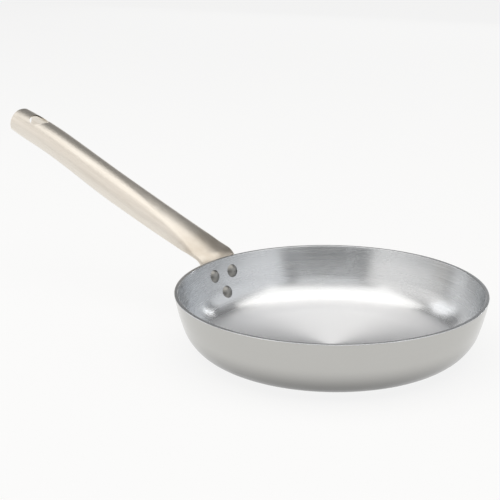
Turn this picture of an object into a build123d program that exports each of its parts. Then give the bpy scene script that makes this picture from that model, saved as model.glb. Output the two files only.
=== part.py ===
from build123d import *
import os
from math import asin, cos, degrees, pi, radians, sin, sqrt, tan

# Omelette pan: a spun aluminium body with flared sides, and a long handle formed from one length of
# stainless steel tube, held on by three rivets.
# The origin is the centre of the base's underside. +Z is up and the handle runs out along +X.

# Pan body, spun from one disc
rim_radius = 120.0
pan_height = 48.0
pan_wall = 3.0
rim_lean = 10.1  # degrees from upright, at the rim
side_radius = 173.0  # bow of the upper side, in section
corner_radius = 34.0  # sweep from the side into the flat base
rim_edge_radius = 0.5

# Handle tube: pressed flat at the pan, rounding up along the grip and open at the far end
tube_radius = 12.95
tube_wall = 1.2
pressed_gap = 0.3  # hairline left between the pressed walls
seat_gap = 0.1  # between the flange and the pan's side
bend_drop = 5.5  # where the flange leaves the pan's side, below the rim
bend_radius = 12.0  # at the middle of the plate
handle_slope = 18.3  # degrees above level
run_length = 248.7  # from the bend to the lower edge of the end cut, along the axis
end_lean = 10.0  # degrees, the crown of the end cut reaching further than its lower edge
rounding_length = 145.7  # from the bend to where the tube is round
rounding_power = 1.91  # the rounding is quickest next to the bend
grip_drop = 2.3  # middle of the round tube below the middle of the pressed plate
grip_lift = 1.5  # how far the tube's middle comes back up beyond the grip
end_radius = 12.4  # of the same girth, if it were round
end_half_height = 11.8  # the tube is pressed a little flat round the hanging hole
flattening_start = 112.0  # from the bend
flattening_length = 85.0
droop_start = 195.0  # from the bend
tip_droop = 3.0

# Underside of the far end, cut away on a slant that leaves the tip open below the hanging hole
mouth_depth = 9.2  # below the handle's axis, at the tip
mouth_slope = 5.0  # degrees, falling towards the pan

# Hanging hole through the top wall
hole_radius = 9.0
hole_from_tip = 22.2

# Three rivets, two above and one below
rivet_radius = 3.0
rivet_head_radius = 5.4
rivet_head_height = 2.7
rivet_spacing = 21.0
upper_rivet_drop = 12.4  # below the rim, on the pan's outer face
lower_rivet_drop = 27.6
rivet_fit = 0.05
rivet_bedding = 0.3  # depth of the head's edge that is shaped to the curved sheet

overrun = 2.0  # how far cutting shapes pass through what they cut

# Number of sections along each stretch of the handle, and of steps round one wall of a section
low_stations = 3
high_stations = 5
bend_stations = 5
run_stations = 18
fold_steps = 3
flat_steps = 18

plate = 2 * tube_wall + pressed_gap
tube_length = run_length + 2 * tube_radius * tan(radians(end_lean)) + overrun  # before the cut
plate_width = pi * (tube_radius - plate / 2) + plate
flange_margin = (plate_width - rivet_spacing) / 2  # metal round the rivets' centres

# Centres of the two arcs that make the pan's side in section, as distance from the axis and height
side_x = rim_radius - side_radius * cos(radians(rim_lean))
side_z = pan_height + side_radius * sin(radians(rim_lean))
corner_z = corner_radius
corner_x = side_x + sqrt((side_radius - corner_radius) ** 2 - (side_z - corner_z) ** 2)
join_lean = degrees(asin((side_z - corner_z) / (side_radius - corner_radius)))


def skin(inset):
    """Section of the pan's surface from the axis out to the rim, moved in by the inset."""
    top_lean = degrees(asin((side_z - pan_height) / (side_radius - inset)))
    base = Line((0, inset), (corner_x, inset))
    corner = JernArc(base @ 1, base % 1, corner_radius - inset, 90 - join_lean)
    side = JernArc(corner @ 1, corner % 1, side_radius - inset, join_lean - top_lean)
    return [base, corner, side]


def skin_place(height):
    """Distance from the axis, and lean from upright in degrees, of the outer face at a height."""
    x, z, radius = side_x, side_z, side_radius
    if asin((side_z - height) / side_radius) > radians(join_lean):
        x, z, radius = corner_x, corner_z, corner_radius
    lean = asin((z - height) / radius)
    return x + radius * cos(lean), degrees(lean)


def rivet_places():
    """Frames on the pan's outer face, one to a rivet, with z out along the rivet."""
    places = []
    for drop, offset in (
        (upper_rivet_drop, rivet_spacing / 2),
        (upper_rivet_drop, -rivet_spacing / 2),
        (lower_rivet_drop, 0),
    ):
        height = pan_height - drop
        distance, lean = skin_place(height)
        face = Plane((distance, 0, height), (0, 1, 0), (cos(radians(lean)), 0, -sin(radians(lean))))
        turn = Rot(0, 0, degrees(asin(offset / distance)))
        places.append(turn * face.location)
    return places


def rivet_holes():
    reach = pan_wall + plate + 2 * overrun
    hole = Pos(0, 0, (plate - pan_wall) / 2) * Cylinder(rivet_radius + rivet_fit, reach)
    return [place * hole for place in rivet_places()]


def spun_sheet(outer_inset, inner_inset):
    """Sheet between two insets of the pan's outer face, with the rivet holes through it."""
    outer = skin(outer_inset)
    inner = skin(inner_inset)
    edges = outer + inner
    edges += [Line(outer[-1] @ 1, inner[-1] @ 1), Line(outer[0] @ 0, inner[0] @ 0)]
    return revolve(Plane.XZ * make_face(edges), Axis.Z) - rivet_holes()


def pan_body():
    body = spun_sheet(0, pan_wall)
    rim = body.edges().filter_by(GeomType.CIRCLE).group_by(Axis.Z)[-1]
    return fillet(rim, rim_edge_radius)


def handle_axis():
    """Middle line of the handle, up the pan's side, round the bend and out along the grip."""
    lowest = pan_height - lower_rivet_drop - flange_margin - overrun
    lean = skin_place(lowest)[1]
    out = seat_gap + plate / 2
    start = (
        corner_x + (corner_radius + out) * cos(radians(lean)),
        corner_z - (corner_radius + out) * sin(radians(lean)),
    )
    bend_lean = skin_place(pan_height - bend_drop)[1]
    way = (sin(radians(lean)), cos(radians(lean)))
    low = JernArc(start, way, corner_radius + out, lean - join_lean)
    high = JernArc(low @ 1, low % 1, side_radius + out, join_lean - bend_lean)
    bend = JernArc(high @ 1, high % 1, bend_radius, handle_slope + bend_lean - 90)
    run = Line(bend @ 1, bend @ 1 + tube_length * (bend % 1))
    return low, high, bend, run


def sinc(angle):
    return sin(angle) / angle if angle else 1.0


def rise(share):
    """Smooth step from 0 to 1 as the share passes from 0 to 1."""
    return sin(min(max(share, 0), 1) * pi / 2) ** 2


def grip_form(out):
    """Roundness, radius when round, half height and drop of the tube, at a distance out."""
    roundness = 1 - max(1 - out / rounding_length, 0) ** rounding_power
    flattened = rise((out - flattening_start) / flattening_length)
    radius = tube_radius + (end_radius - tube_radius) * flattened
    half_height = plate / 2 + (tube_radius - plate / 2) * roundness
    half_height -= (tube_radius - end_half_height) * flattened
    drop = grip_drop * roundness - grip_lift * flattened
    drop += tip_droop * max((out - droop_start) / (run_length - droop_start), 0) ** 2
    return roundness, radius, half_height, drop


# Places round one wall, fold to fold, close together where the pressed tube is folded
wall_length = pi * tube_radius
fold_length = pi * plate / 4
flat_step = (wall_length - 2 * fold_length) / flat_steps
fold_places = [fold_length * step / fold_steps for step in range(fold_steps)]
wall_places = fold_places + [fold_length + flat_step * step for step in range(flat_steps + 1)]
wall_places += [wall_length - place for place in reversed(fold_places)]
wall_shares = [place / wall_length for place in wall_places]


def wall_point(share, depth, bow, radius, half_height, drop, way):
    """Point at a share of the way round the top wall (way 1), or round the lower one (way -1)."""
    half_flat = pi / 2 * (radius - half_height)
    reach = pi * radius * (1 - 2 * share) / 2
    middle = max(-half_flat, min(reach, half_flat))
    turn = (reach - middle) / half_height
    across = way * (middle + (half_height - depth) * sin(turn))
    up = way * (half_height - depth) * cos(turn)
    tilt = bow * across
    return Vector(
        across * sinc(tilt) + up * sin(tilt),
        up * cos(tilt) - across * tilt / 2 * sinc(tilt / 2) ** 2 - drop,
    )


def outline(depth, frame, *form):
    """Closed outline of the tube at one station, at a depth in the metal: round, or with flats."""
    halves = []
    for way in (1, -1):
        points = [wall_point(share, depth, *form, way) for share in wall_shares]
        halves.append([frame.from_local_coords(point) for point in points])
    top, lower = halves
    lower[0] = top[-1]
    lower[-1] = top[0]
    return Face(Wire([Edge.make_spline(points, parameters=wall_shares) for points in halves]))


def stations():
    """Frame along the handle's axis, and bow, radius, half height and drop of the tube."""
    low, high, bend, run = handle_axis()
    places = []
    for curve, count in (
        (low, low_stations),
        (high, high_stations),
        (bend, bend_stations),
        (run, run_stations),
    ):
        places += [(curve, share / count) for share in range(count)]
    found = []
    for curve, share in places + [(run, 1)]:
        spot = curve @ share
        way = curve % share
        frame = Plane((spot.X, 0, spot.Y), (0, 1, 0), (way.X, 0, way.Y))
        out = share * run.length if curve is run else 0
        roundness, radius, half_height, drop = grip_form(out)
        bow = -way.Y / spot.X * (1 - roundness)
        found.append((frame, bow, radius, half_height, drop))
    return found


def flange_outline():
    """Plate within the flange's outline, which wraps the three rivets, and everything above it."""
    upper = pan_height - upper_rivet_drop
    lower = pan_height - lower_rivet_drop
    places = ((-rivet_spacing / 2, upper), (rivet_spacing / 2, upper), (0, lower))
    rounds = [Pos(*place) * Circle(flange_margin) for place in places]
    lobe = make_hull([edge for shape in rounds for edge in shape.edges()])
    height = tube_length + pan_height
    above = Pos(0, upper + height / 2) * Rectangle(plate_width + 2 * overrun, height)
    depth = rim_radius + tube_length
    return extrude(Plane.YZ * (lobe + above), depth)


def grip_frame():
    """Frame on the handle's axis at the end cut, with z along the axis and y up to the crown."""
    run = handle_axis()[-1]
    way = run % 1
    spot = run @ 0 + run_length * way
    return Plane((spot.X, 0, spot.Y), (0, 1, 0), (way.X, 0, way.Y)).location


def end_cuts():
    """What comes off the far end: past the tip, and the slant along the underside."""
    corner = Vector(-mouth_depth, 0)
    back = corner - run_length * Vector(sin(radians(mouth_slope)), cos(radians(mouth_slope)))
    crest = corner + run_length * Vector(cos(radians(end_lean)), sin(radians(end_lean)))
    side = Polyline(back, corner, crest, (back.X, crest.Y), close=True)
    return grip_frame() * extrude(Plane.YZ * make_face(side), tube_radius + overrun, both=True)


def hanging_hole():
    drop = grip_form(run_length - hole_from_tip)[-1]
    height = end_half_height + 2 * overrun
    drill = Cylinder(hole_radius, height, align=(Align.CENTER, Align.CENTER, Align.MIN))
    return grip_frame() * Pos(0, -drop, -hole_from_tip) * Rot(-90, 0, 0) * drill


def handle():
    sections = stations()
    outer = loft([outline(0, *station) for station in sections])
    inner = loft([outline(tube_wall, *station) for station in sections])
    grip = (outer - inner) & flange_outline()
    return grip - rivet_holes() - end_cuts() - hanging_hole()


def rivet(place):
    """One set rivet, with a low dome at each end, bedded on the curved sheets."""
    head_top = plate + rivet_head_height
    head_end = -pan_wall - rivet_head_height
    edges = [
        TangentArc((0, head_top), (rivet_head_radius, plate), tangent=(1, 0)),
        Polyline(
            (rivet_head_radius, plate),
            (rivet_head_radius, plate - rivet_bedding),
            (rivet_radius, plate - rivet_bedding),
            (rivet_radius, rivet_bedding - pan_wall),
            (rivet_head_radius, rivet_bedding - pan_wall),
            (rivet_head_radius, -pan_wall),
        ),
        TangentArc((0, head_end), (rivet_head_radius, -pan_wall), tangent=(1, 0)),
        Line((0, head_end), (0, head_top)),
    ]
    return place * revolve(Plane.XZ * make_face(edges), Axis.Z)


os.makedirs("parts", exist_ok=True)
body = pan_body()
seat = spun_sheet(-seat_gap - plate - rivet_fit, 0)
export_step(body, "parts/pan_body.step")
export_step(handle(), "parts/handle.step")
for name, place in zip(("rivet_left", "rivet_right", "rivet_lower"), rivet_places()):
    export_step(rivet(place) - body - seat, f"parts/{name}.step")
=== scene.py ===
from math import pi, radians

import bpy
from mathutils import Euler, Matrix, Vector

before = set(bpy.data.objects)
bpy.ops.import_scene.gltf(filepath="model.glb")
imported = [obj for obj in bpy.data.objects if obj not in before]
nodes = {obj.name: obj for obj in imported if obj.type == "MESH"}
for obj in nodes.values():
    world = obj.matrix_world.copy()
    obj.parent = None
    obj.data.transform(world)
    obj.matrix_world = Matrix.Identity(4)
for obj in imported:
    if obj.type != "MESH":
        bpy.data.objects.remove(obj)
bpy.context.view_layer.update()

# Pan body: one disc of aluminium, spun to a flat base and flared sides. The lathe tool and the
# polishing pad leave fine rings all round it, inside and out, and the cooking surface gets a few
# dull patches where it is wiped.
cooking_surface = 0.003  # height of the inside of the base
rings_per_metre = 2600
ring_drift = 0.0012  # how slowly a ring changes on its way round
ring_smoothest = 0.22
ring_dullest = 0.29
ring_depth = 0.0001
ring_strength = 0.05
ring_stretch = 0.75  # how far a reflection smears across the rings
quarter_turn = 0.25
fine_detail = 4
coarse_detail = 2
coarse_share = 0.13
lightest_scratch = 0.7
deepest_scratch = 1.3

inside_tint = (0.72, 0.735, 0.75, 1)
ground_tint = (0.94, 0.945, 0.955, 1)
ground_tint_top = 0.02
ground_base_top = 0.01
ground_base_dullness = 0.46

# Outside colour: the sheet's own warmer tone, made darker than inside as painted shade for the
# shaded floor near the pan that it reflects.
outside_tone_and_shade = (0.52, 0.515, 0.495, 1)
outside_polish = -0.08
# Painted shade: a near-black colour low down on the outside, standing for the shaded floor and
# contact shadow that it reflects.
painted_shade_tint = (0.09, 0.09, 0.086, 1)
painted_shade_top = 0.028
facing_out = (0.02, -0.02)  # up or down share of a face's direction, from inside to outside
facing_off_base = (-0.995, -0.9)

patches_per_metre = 45
patch_detail = 6
patch_span = (0.5, 0.72)
patch_dullness = 0.05

sheet_step = 180


def feed(tree, node, inputs):
    """Gives a node's inputs what they take: a plain value, or the output of another node."""
    for name, value in inputs.items():
        if isinstance(value, bpy.types.NodeSocket):
            tree.links.new(value, node.inputs[name])
        else:
            node.inputs[name].default_value = value


def node_in(tree, kind, place, inputs=None, **settings):
    """Adds one node to a material, at a place on its sheet."""
    node = tree.nodes.new(kind)
    node.location = (place[0] * sheet_step, place[1] * -sheet_step)
    for name, value in settings.items():
        setattr(node, name, value)
    feed(tree, node, inputs or {})
    return node


def result_in(tree, place, operation, first, second):
    """Result of one operation on two numbers."""
    inputs = {0: first, 1: second}
    return node_in(tree, "ShaderNodeMath", place, inputs, operation=operation).outputs[0]


def ramp_in(tree, place, value, start, end, low=0, high=1, curve="LINEAR"):
    """Number that goes from low to high as a value goes from start to end."""
    inputs = {"Value": value, "From Min": start, "From Max": end, "To Min": low, "To Max": high}
    return node_in(tree, "ShaderNodeMapRange", place, inputs, interpolation_type=curve).outputs[0]


def clouds_in(tree, place, spot, per_metre, detail):
    """Soft clouds through the metal, from 0 to 1."""
    inputs = {"Vector": spot, "Scale": per_metre, "Detail": detail}
    return node_in(tree, "ShaderNodeTexNoise", place, inputs, noise_dimensions="3D").outputs["Fac"]


def tint_in(tree, place, share, plain, marked):
    """Colour that goes from plain to marked as the share goes from 0 to 1."""
    share_socket, plain_socket, marked_socket, colour_socket = 0, 6, 7, 2
    inputs = {share_socket: share, plain_socket: plain, marked_socket: marked}
    return node_in(tree, "ShaderNodeMix", place, inputs, data_type="RGBA").outputs[colour_socket]


def bump_in(tree, place, height, strength, distance, **under):
    """Direction of a surface that is raised by a height, over any bump given as Normal."""
    inputs = {"Height": height, "Strength": strength, "Distance": distance, **under}
    return node_in(tree, "ShaderNodeBump", place, inputs).outputs[0]


def shader_group(name, inputs, outputs, end_place):
    """Shader group with named inputs and outputs, returned with its two ends."""
    group = bpy.data.node_groups.new(name, "ShaderNodeTree")
    for in_out, sockets in (("INPUT", inputs), ("OUTPUT", outputs)):
        for socket, kind in sockets.items():
            group.interface.new_socket(socket, in_out=in_out, socket_type="NodeSocket" + kind)
    start = node_in(group, "NodeGroupInput", (0, 0))
    end = node_in(group, "NodeGroupOutput", end_place)
    return group, start.outputs, end


def brushing_group():
    """Shader group: the scratches that a brush leaves, from coordinates that run across them."""
    inputs = {"Across": "Vector", "Scratches": "Float", "Smoothest": "Float", "Dullest": "Float"}
    outputs = {"Height": "Float", "Roughness": "Float"}
    group, given, end = shader_group("brushing", inputs, outputs, (6, 0))
    fewer = result_in(group, (1, 2), "MULTIPLY", given["Scratches"], coarse_share)
    fine = clouds_in(group, (2, 0), given["Across"], given["Scratches"], fine_detail)
    coarse = clouds_in(group, (2, 2), given["Across"], fewer, coarse_detail)
    height = result_in(group, (4, 0), "ADD", fine, coarse)
    span = (lightest_scratch, deepest_scratch)
    roughness = ramp_in(group, (5, 2), height, *span, given["Smoothest"], given["Dullest"])
    feed(group, end, {"Height": height, "Roughness": roughness})
    return group


brushing = brushing_group()


def metal(name):
    """Metal material, returned with its tree and its Principled node."""
    material = bpy.data.materials.new(name)
    material.use_nodes = True
    tree = material.node_tree
    shader = tree.nodes["Principled BSDF"]
    shader.inputs["Metallic"].default_value = 1
    return material, tree, shader


def brushed_in(tree, across, scratches, smoothest, dullest):
    """Height and roughness of a brushed surface."""
    inputs = {
        "Across": across, "Scratches": scratches, "Smoothest": smoothest, "Dullest": dullest,
    }
    brushed = node_in(tree, "ShaderNodeGroup", (-4, 0), inputs, node_tree=brushing)
    return brushed.outputs["Height"], brushed.outputs["Roughness"]


def ring_coordinates(tree, spot):
    """Height above the floor, and a vector of distance from the axis, height and turn round it."""
    parts = node_in(tree, "ShaderNodeSeparateXYZ", (-8, 0), {0: spot}).outputs
    x, y, height = parts["X"], parts["Y"], parts["Z"]
    flat = node_in(tree, "ShaderNodeCombineXYZ", (-7, 1), {"X": x, "Y": y}).outputs[0]
    out = node_in(tree, "ShaderNodeVectorMath", (-6, 1), {0: flat}, operation="LENGTH")
    turn = result_in(tree, (-7, 2), "ARCTAN2", y, x)
    drift = result_in(tree, (-6, 2), "MULTIPLY", turn, ring_drift)
    inputs = {"X": out.outputs["Value"], "Y": height, "Z": drift}
    return height, node_in(tree, "ShaderNodeCombineXYZ", (-5, 0), inputs).outputs[0]


def outside_masks(tree):
    """White on the pan's outside, which faces down or out, and on all but its flat base."""
    facing = node_in(tree, "ShaderNodeNewGeometry", (-8, 6)).outputs["True Normal"]
    up = node_in(tree, "ShaderNodeSeparateXYZ", (-7, 6), {0: facing}).outputs["Z"]
    return ramp_in(tree, (-6, 6), up, *facing_out), ramp_in(tree, (-6, 8), up, *facing_off_base)


def spun_aluminium():
    """Aluminium brushed in rings, ground dull on the base inside, with painted shade outside,
    darkest low down.
    """
    material, tree, shader = metal("spun_aluminium")
    spot = node_in(tree, "ShaderNodeTexCoord", (-9, 0)).outputs["Object"]
    height, rings = ring_coordinates(tree, spot)
    ridges, dullness = brushed_in(tree, rings, rings_per_metre, ring_smoothest, ring_dullest)
    outside, off_base = outside_masks(tree)

    base = ramp_in(
        tree, (-4, -3), height, ground_base_top, cooking_surface, 0, ground_base_dullness,
        "SMOOTHSTEP",
    )
    inside = result_in(tree, (-4, -5), "SUBTRACT", 1, outside)
    ground = result_in(tree, (-3, -3), "MULTIPLY", base, inside)
    polish = result_in(tree, (-4, -6), "MULTIPLY", outside, outside_polish)
    clouds = clouds_in(tree, (-5, -12), spot, patches_per_metre, patch_detail)
    patches = ramp_in(tree, (-4, -12), clouds, *patch_span, 0, patch_dullness, "SMOOTHSTEP")
    made = result_in(tree, (-3, -5), "ADD", ground, polish)
    scuffed = result_in(tree, (-3, 1), "ADD", dullness, patches)
    roughness = result_in(tree, (-2, 0), "ADD", made, scuffed)

    worn = ramp_in(
        tree, (-4, -10), height, ground_tint_top, cooking_surface, curve="SMOOTHSTEP"
    )
    inside_colour = tint_in(tree, (-3, -10), worn, inside_tint, ground_tint)
    # The outside's colour carries painted shade as well as its warmer tone.
    colour = tint_in(tree, (-2, -2), outside, inside_colour, outside_tone_and_shade)
    # Painted shade: the outside goes near-black towards its foot, above the flat base.
    edge = ramp_in(tree, (-4, -8), height, painted_shade_top, 0, curve="SMOOTHSTEP")
    outer_edge = result_in(tree, (-3, -8), "MULTIPLY", edge, outside)
    painted_shade = result_in(tree, (-2, -8), "MULTIPLY", outer_edge, off_base)

    around = node_in(tree, "ShaderNodeTangent", (-2, 3), direction_type="RADIAL", axis="Z")
    feed(tree, shader, {
        "Base Color": tint_in(tree, (-1, -2), painted_shade, colour, painted_shade_tint),
        "Roughness": roughness,
        "Anisotropic": ring_stretch,
        "Anisotropic Rotation": quarter_turn,
        "Normal": bump_in(tree, (-2, 2), ridges, ring_strength, ring_depth),
        "Tangent": around.outputs[0],
    })
    return material


def dress(node, material):
    """Gives a CAD node its material, in place of the plain one that it came with."""
    for slot in nodes[node].material_slots:
        slot.material = material


dress("pan_body", spun_aluminium())

# Handle: one length of stainless steel tube, pressed flat at the pan and bent to its side. It is
# satin-polished along the grip, and warmer in colour than the pan.
handle_tint = (0.86, 0.815, 0.745, 1)
handle_slope = 18.3  # degrees above level
grip_scratches = 900
scratch_length = 40  # times its width
grip_smoothest = 0.36
grip_dullest = 0.42
grip_depth = 0.00003
grip_strength = 0.12

heat_stain = (0.60, 0.535, 0.45, 1)
stain_start = 0.185  # distances out from the pan's axis
stain_end = 0.125
stain_patches_per_metre = 70
stain_patch_detail = 5
stain_patch_span = (0.35, 0.65)
stain_least = 0.55
streak_most = 0.32

arch_bow = 17.0
arch_aside = 0.006
arch_start = 0.14
arch_end = 0.25


def arch_group():
    """Shader group: how far the pressed wall bows away from flat across the handle."""
    inputs = {"Place": "Vector", "Bow": "Float", "Aside": "Float", "Start": "Float", "End": "Float"}
    group, given, end = shader_group("pressed_arch", inputs, {"Height": "Float"}, (5, 0))
    parts = node_in(group, "ShaderNodeSeparateXYZ", (1, 0), {0: given["Place"]}).outputs
    across = result_in(group, (1, 1), "ADD", parts["Y"], given["Aside"])
    squared = result_in(group, (2, 0), "MULTIPLY", across, across)
    bowed = result_in(group, (3, 0), "MULTIPLY", squared, given["Bow"])
    fade = ramp_in(
        group, (2, 2), parts["X"], given["Start"], given["End"], -1, 0, "SMOOTHSTEP"
    )
    feed(group, end, {"Height": result_in(group, (4, 0), "MULTIPLY", bowed, fade)})
    return group


def satin_steel():
    """Steel polished along the tube, with fine streaks and a warm stain near the pan."""
    material, tree, shader = metal("satin_steel")
    spot = node_in(tree, "ShaderNodeTexCoord", (-8, 0)).outputs["Object"]
    inputs = {
        "Vector": spot,
        "Rotation": (0, radians(-handle_slope), 0),
        "Scale": (scratch_length, 1, 1),
    }
    along = node_in(tree, "ShaderNodeMapping", (-7, 0), inputs, vector_type="TEXTURE")
    ridges, roughness = brushed_in(
        tree, along.outputs[0], grip_scratches, grip_smoothest, grip_dullest
    )

    out = node_in(tree, "ShaderNodeSeparateXYZ", (-7, -3), {0: spot}).outputs["X"]
    near_pan = ramp_in(tree, (-6, -3), out, stain_start, stain_end, curve="SMOOTHSTEP")
    clouds = clouds_in(tree, (-6, -5), spot, stain_patches_per_metre, stain_patch_detail)
    patchy = ramp_in(tree, (-5, -5), clouds, *stain_patch_span, stain_least)
    stained = result_in(tree, (-4, -4), "MULTIPLY", near_pan, patchy)
    streak = ramp_in(tree, (-4, -6), ridges, lightest_scratch, deepest_scratch, 0, streak_most)
    marked = result_in(tree, (-3, -5), "MAXIMUM", stained, streak)

    inputs = {
        "Place": spot, "Bow": arch_bow, "Aside": arch_aside, "Start": arch_start, "End": arch_end,
    }
    arch = node_in(tree, "ShaderNodeGroup", (-5, 4), inputs, node_tree=arch_group())
    bowed = bump_in(tree, (-3, 4), arch.outputs["Height"], 1, 1)
    feed(tree, shader, {
        "Base Color": tint_in(tree, (-2, -3), marked, handle_tint, heat_stain),
        "Roughness": roughness,
        "Normal": bump_in(tree, (-2, 2), ridges, grip_strength, grip_depth, Normal=bowed),
    })
    return material


dress("handle", satin_steel())

# Rivets: solid aluminium, set cold through the flange and the pan's side. Their domes are left as
# the setting tool made them, a little duller and darker than the sheet.
rivet_tint = (0.31, 0.305, 0.29, 1)
rivet_smoothest = 0.24
rivet_dullest = 0.4
dents_per_metre = 650
dent_detail = 3
dent_depth = 0.0002
dent_strength = 0.25


def set_aluminium():
    """Aluminium with the slightly rough skin that a setting tool leaves."""
    material, tree, shader = metal("set_aluminium")
    spot = node_in(tree, "ShaderNodeTexCoord", (-6, 0)).outputs["Object"]
    skin = clouds_in(tree, (-5, 0), spot, dents_per_metre, dent_detail)
    feed(tree, shader, {
        "Base Color": rivet_tint,
        "Roughness": ramp_in(tree, (-4, 0), skin, 0, 1, rivet_smoothest, rivet_dullest),
        "Normal": bump_in(tree, (-2, 2), skin, dent_strength, dent_depth),
    })
    return material


rivet_metal = set_aluminium()
for rivet in ("rivet_left", "rivet_right", "rivet_lower"):
    dress(rivet, rivet_metal)

# Floor: the plain white sheet of paper that the pan stands on. The eye, metal and glass all see the
# same white, and a share of the sheet's own shading is left, so it keeps the pan's shadow.
floor_reach = 40.0
floor_drop = 0.0002
paper_tint = (0.86, 0.85, 0.82, 1)
white_share = 0.85
bpy.ops.mesh.primitive_plane_add(size=2 * floor_reach, location=(0, 0, -floor_drop))
floor = bpy.context.object
floor.name = "floor"


def white_paper():
    """Matt paper that also shows white to the eye, to metal and to glass."""
    paper = bpy.data.materials.new("white_paper")
    paper.use_nodes = True
    tree = paper.node_tree
    tree.nodes.clear()
    rays = node_in(tree, "ShaderNodeLightPath", (0, 0)).outputs
    seen = result_in(tree, (1, 0), "MAXIMUM", rays["Is Camera Ray"], rays["Is Glossy Ray"])
    seen = result_in(tree, (2, 0), "MAXIMUM", seen, rays["Is Transmission Ray"])
    share = result_in(tree, (3, 0), "MULTIPLY", seen, white_share)
    glow = node_in(tree, "ShaderNodeEmission", (4, 1)).outputs[0]
    matt = node_in(tree, "ShaderNodeBsdfDiffuse", (4, 2), {"Color": paper_tint}).outputs[0]
    both = node_in(tree, "ShaderNodeMixShader", (5, 0), {"Fac": share, 1: matt, 2: glow})
    node_in(tree, "ShaderNodeOutputMaterial", (6, 0), {"Surface": both.outputs[0]})
    return paper


floor.data.materials.append(white_paper())

# Light: a large soft box overhead, soft panels left, right, in front and low beyond the pan, and a
# narrow bright strip beyond it on the right. The room around them is a dim grey.
room_grey = 0.18
world = bpy.data.worlds.new("room")
bpy.context.scene.world = world
world.use_nodes = True
sky = world.node_tree.nodes["Background"]
sky.inputs["Color"].default_value = (room_grey, room_grey, room_grey, 1)
sky.inputs["Strength"].default_value = 1

view_turn = Euler((0, 0, radians(-137.14)))
lit_spot = Vector((0, 0, 0.05))


def soft_box(name, place, size, level, tint=(1, 1, 1)):
    """Rectangular lamp, at a place right of, beyond and above the pan as the camera sees it."""
    lamp = bpy.data.lights.new(name, "AREA")
    lamp.shape = "RECTANGLE"
    lamp.size, lamp.size_y = size
    lamp.energy = level * pi * size[0] * size[1]
    lamp.color = tint
    box = bpy.data.objects.new(name, lamp)
    bpy.context.scene.collection.objects.link(box)
    spot = Vector(place)
    spot.rotate(view_turn)
    box.location = spot
    box.rotation_euler = (lit_spot - spot).to_track_quat("-Z", "Y").to_euler()


soft_box("overhead", (0, -0.1, 1.4), (2.7, 1.7), 1.2, (1, 0.98, 0.95))
soft_box("left_panel", (-1.3, -0.4, 0.6), (2.2, 1.0), 0.8, (1, 0.97, 0.94))
soft_box("far_left_panel", (-1.2, 0.8, 0.6), (0.55, 1.0), 1.15)
soft_box("right_panel", (1.35, -0.3, 0.6), (2.4, 1.0), 0.68, (0.97, 0.98, 1))
soft_box("front_panel", (0, -1.4, 1.0), (1.6, 0.8), 0.62)
soft_box("back_panel", (0.5, 1.6, 0.3), (1.8, 0.5), 0.45)
soft_box("right_strip", (1.35, 1.2, 0.45), (0.08, 0.9), 5)

# Camera: a long lens at the photograph's viewpoint, level from side to side and looking down at
# the pan. Its place and lens were fitted to the pan's outline.
camera_place = (-0.7132, 0.8598, 0.4204)
camera_fall = 16.97  # degrees below level
lens_length = 110.74
sensor_width = 36

eye = bpy.data.cameras.new("camera")
eye.sensor_width = sensor_width
eye.lens = lens_length
camera = bpy.data.objects.new("camera", eye)
bpy.context.scene.collection.objects.link(camera)
camera.location = camera_place
camera.rotation_euler = (radians(90 - camera_fall), 0, view_turn.z)
bpy.context.scene.camera = camera

bpy.context.scene.view_settings.view_transform = "Standard"
